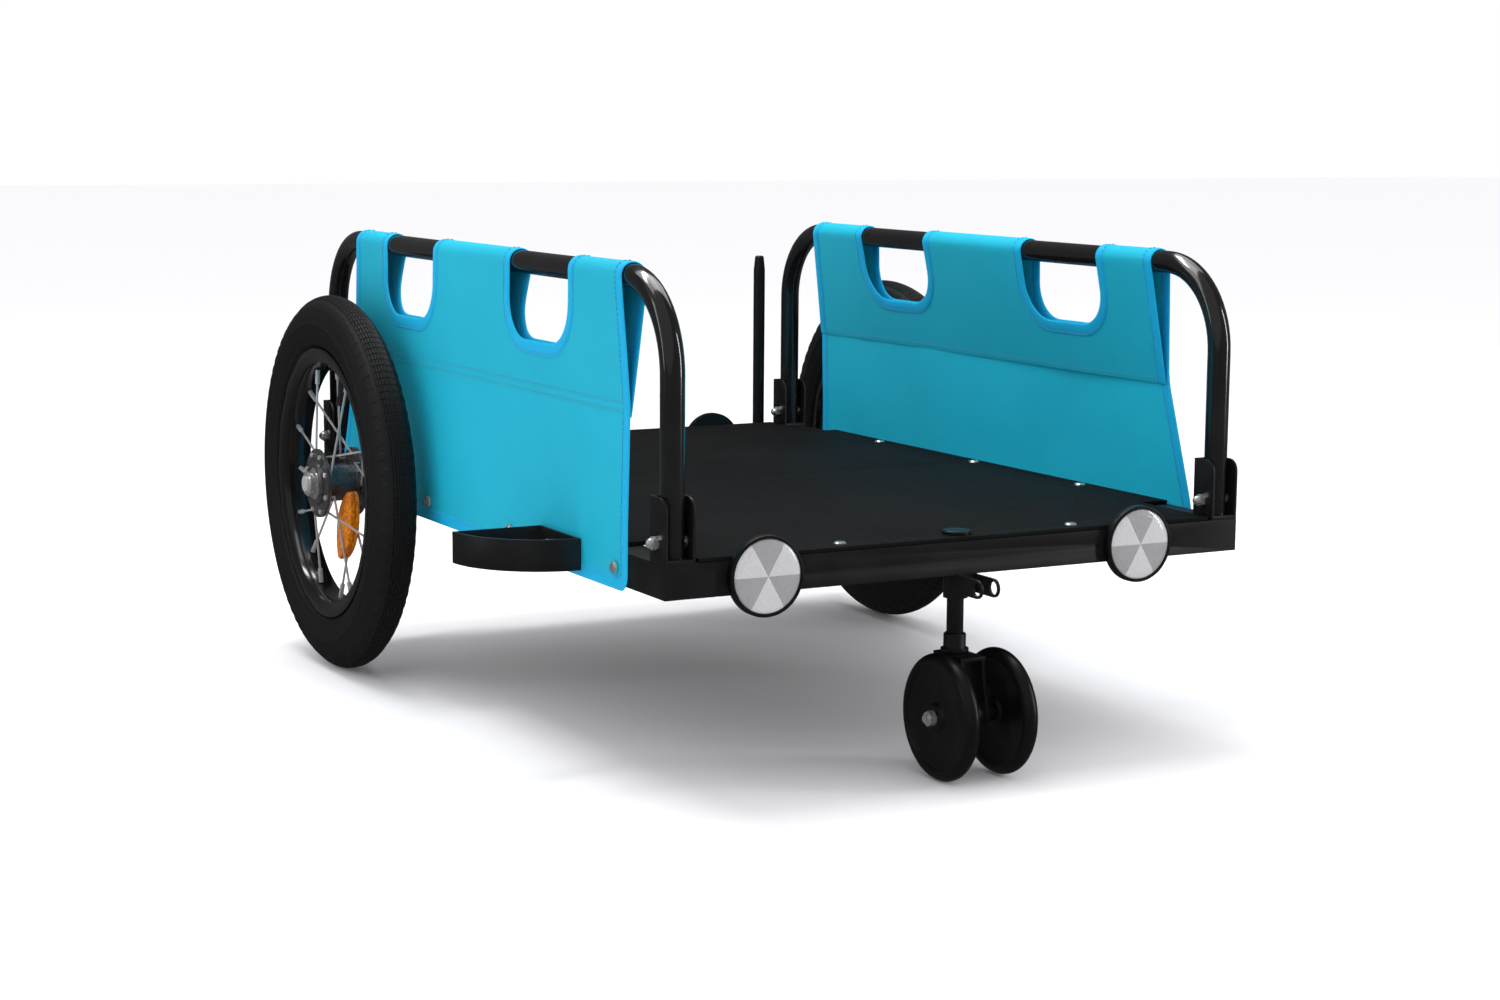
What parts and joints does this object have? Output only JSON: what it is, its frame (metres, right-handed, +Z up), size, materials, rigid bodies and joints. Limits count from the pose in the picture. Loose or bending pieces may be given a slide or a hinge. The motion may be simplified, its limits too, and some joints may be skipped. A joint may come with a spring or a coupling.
{
  "type": "beach cart",
  "caption": "Flatbed hand cart with a steel deck frame, cloth sides on tube hoops, two spoked wheels on quick-release axles, a swivelling twin caster, guards and a towing clevis.",
  "frame": {"origin": "on the ground, under the middle of the whole cart", "axes": "+Z up, +X to the cart's right, -Y towards the hitch and caster at the front"},
  "size_m": [0.6256, 0.7731, 0.3701],
  "materials": {
    "frame_steel": "black powder coat",
    "hoop_tube": "gloss black coat",
    "deck_board": "matt charcoal sheet",
    "zinc_steel": "zinc plated",
    "hub_steel": "dark plated, pressed",
    "button_plastic": "moulded",
    "panel_cloth": "coated woven cloth, bound edges",
    "tyre_rubber": "moulded tread",
    "tube_rubber": "moulded",
    "rim_black": "black coat",
    "amber_lens": "prismatic amber",
    "housing_black": "moulded",
    "clear_lens": "prismatic clear",
    "red_lens": "prismatic red",
    "caster_core": "moulded",
    "caster_tread": "moulded",
    "mast_rod": "drawn rod"
  },
  "bodies": {
    "frame": {"front_rail": "frame_steel", "rear_rail": "frame_steel", "left_rail": "frame_steel", "right_rail": "frame_steel", "axle_beam": "frame_steel", "middle_beam": "frame_steel", "deck_board": "deck_board", "deck_screws": "zinc_steel", "front_left_bracket": "frame_steel", "front_right_bracket": "frame_steel", "rear_left_bracket": "frame_steel", "rear_right_bracket": "frame_steel", "left_hoop": "hoop_tube", "right_hoop": "hoop_tube", "hoop_bolts": "zinc_steel", "hoop_nuts": "zinc_steel", "left_panel": "panel_cloth", "right_panel": "panel_cloth", "panel_bolts": "zinc_steel", "left_wheel_guard": "frame_steel", "right_wheel_guard": "frame_steel", "axle_receivers": "zinc_steel", "locking_balls": "zinc_steel", "left_axle": "zinc_steel", "right_axle": "zinc_steel", "front_reflector_housings": "housing_black", "rear_reflector_housings": "housing_black", "front_reflector_lenses": "clear_lens", "rear_reflector_lenses": "red_lens", "caster_socket": "frame_steel", "caster_stem": "frame_steel", "stem_cap": "button_plastic", "swivel_housing": "frame_steel", "hitch_clevis": "frame_steel", "flag_mast": "mast_rod", "mast_clips": "frame_steel"},
    "caster_fork": {"caster_yoke": "frame_steel", "caster_axle": "zinc_steel", "caster_nut": "zinc_steel"},
    "left_wheel": {"left_tyre": "tyre_rubber", "left_inner_tube": "tube_rubber", "left_rim": "rim_black", "left_spokes": "zinc_steel", "left_hub_shell": "hub_steel", "left_hub_bearings": "zinc_steel", "left_wheel_reflector": "amber_lens"},
    "left_button": {"left_release_button": "button_plastic"},
    "left_caster": {"left_caster_wheel": "caster_core", "left_caster_tyre": "caster_tread"},
    "right_wheel": {"right_tyre": "tyre_rubber", "right_inner_tube": "tube_rubber", "right_rim": "rim_black", "right_spokes": "zinc_steel", "right_hub_shell": "hub_steel", "right_hub_bearings": "zinc_steel", "right_wheel_reflector": "amber_lens"},
    "right_button": {"right_release_button": "button_plastic"},
    "right_caster": {"right_caster_wheel": "caster_core", "right_caster_tyre": "caster_tread"}
  },
  "joints": [
    {"name": "left_wheel_spin", "type": "hinge", "parent": "frame", "child": "left_wheel", "pos_m": [-0.272, 0.22805, 0.1585], "axis": [1, 0, 0], "continuous": true},
    {"name": "right_wheel_spin", "type": "hinge", "parent": "frame", "child": "right_wheel", "pos_m": [0.272, 0.22805, 0.1585], "axis": [1, 0, 0], "continuous": true},
    {"name": "caster_swivel", "type": "hinge", "parent": "frame", "child": "caster_fork", "pos_m": [0, -0.31895, 0.09], "axis": [0, 0, 1], "continuous": true},
    {"name": "left_caster_spin", "type": "hinge", "parent": "caster_fork", "child": "left_caster", "pos_m": [-0.0243, -0.34055, 0.046], "axis": [1, 0, 0], "continuous": true},
    {"name": "right_caster_spin", "type": "hinge", "parent": "caster_fork", "child": "right_caster", "pos_m": [0.0243, -0.34055, 0.046], "axis": [1, 0, 0], "continuous": true},
    {"name": "left_button_press", "type": "slide", "parent": "frame", "child": "left_button", "axis": [1, 0, 0], "range_m": [0, 0.003], "stiffness_N_per_m": 600},
    {"name": "right_button_press", "type": "slide", "parent": "frame", "child": "right_button", "axis": [-1, 0, 0], "range_m": [0, 0.003], "stiffness_N_per_m": 600}
  ]
}
